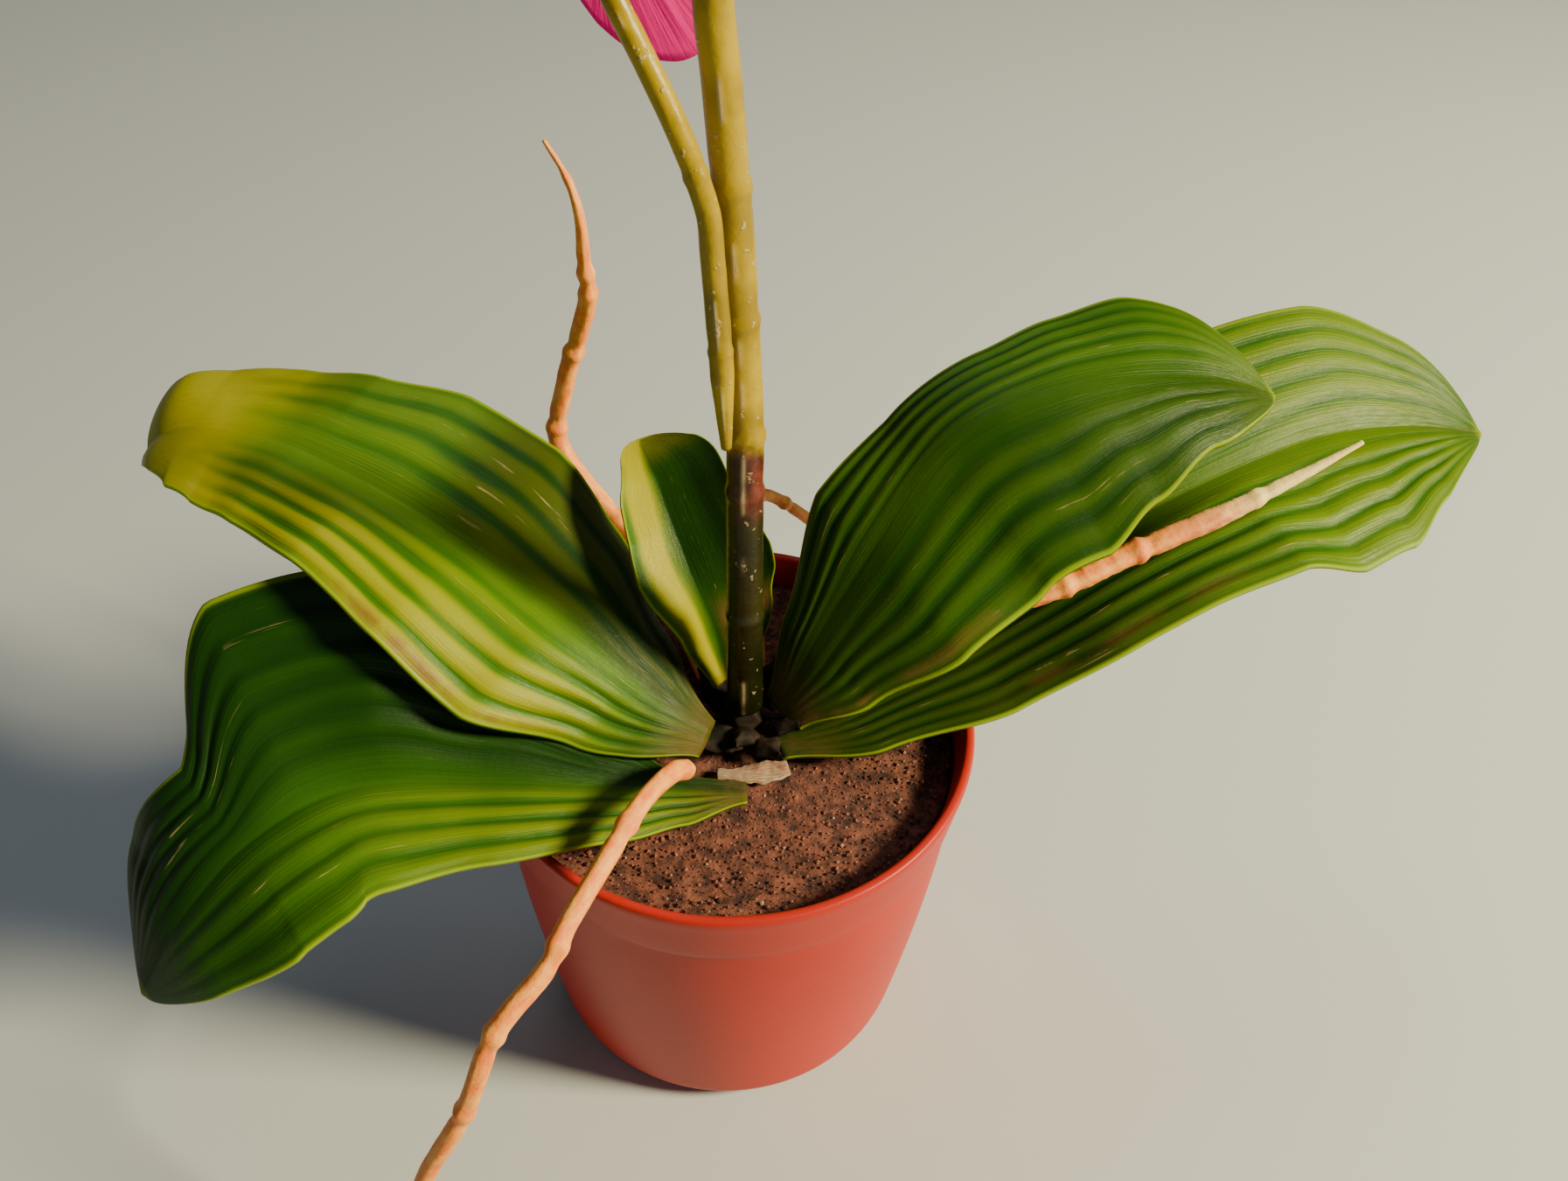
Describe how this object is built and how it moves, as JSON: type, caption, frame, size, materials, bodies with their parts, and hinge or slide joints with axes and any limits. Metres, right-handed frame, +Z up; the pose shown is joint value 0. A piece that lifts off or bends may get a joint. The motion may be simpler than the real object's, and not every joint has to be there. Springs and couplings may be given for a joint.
{
  "type": "potted orchid",
  "caption": "Potted moth orchid: broad pleated leaves, aerial roots and two arching flower spikes in a round tapered pot of dark soil.",
  "frame": {"origin": "centre of the pot's flat foot, on the surface that it stands on", "axes": "+Z up along the pot's axis and the flower spikes, +Y towards the back, where the flowers face, +X towards the two right-hand leaves"},
  "size_m": [0.3408, 0.257, 0.4657],
  "materials": {
    "leaf": "glossy moulded leaf, deep green with yellow-green ribs",
    "crown": "dark moulded crown",
    "sheath": "dry papery leaf base",
    "root": "matte mottled aerial root",
    "stem": "olive-green stem, satin",
    "pot": "coral moulded plastic, satin",
    "soil": "dark granular potting mix",
    "petal": "magenta petals, matte",
    "lip": "deep crimson lip, matte",
    "stalk": "slim stalk, satin",
    "bud": "closed bud, satin"
  },
  "bodies": {
    "root": {"pot": "pot", "soil": "soil", "crown": "crown", "leaf_upper_left": "leaf", "leaf_lower_left": "leaf", "leaf_near_right": "leaf", "leaf_far_right": "leaf", "leaf_center": "leaf", "base_sheath": "sheath", "aerial_root_front": "root", "aerial_root_back_left": "root", "aerial_root_back_right": "root", "aerial_root_right": "root", "flower_spike_main": "stem", "flower_spike_side": "stem", "flower_1_sepals": "petal", "flower_1_petals": "petal", "flower_1_lip": "lip", "flower_1_stalk": "stalk", "flower_2_sepals": "petal", "flower_2_petals": "petal", "flower_2_lip": "lip", "flower_2_stalk": "stalk", "flower_3_sepals": "petal", "flower_3_petals": "petal", "flower_3_lip": "lip", "flower_3_stalk": "stalk", "flower_4_sepals": "petal", "flower_4_petals": "petal", "flower_4_lip": "lip", "flower_4_stalk": "stalk", "flower_5_sepals": "petal", "flower_5_petals": "petal", "flower_5_lip": "lip", "flower_5_stalk": "stalk", "flower_6_sepals": "petal", "flower_6_petals": "petal", "flower_6_lip": "lip", "flower_6_stalk": "stalk", "bud_1": "bud", "bud_2": "bud", "bud_3": "bud", "bud_4": "bud", "bud_5": "bud", "bud_6": "bud"}
  },
  "joints": []
}
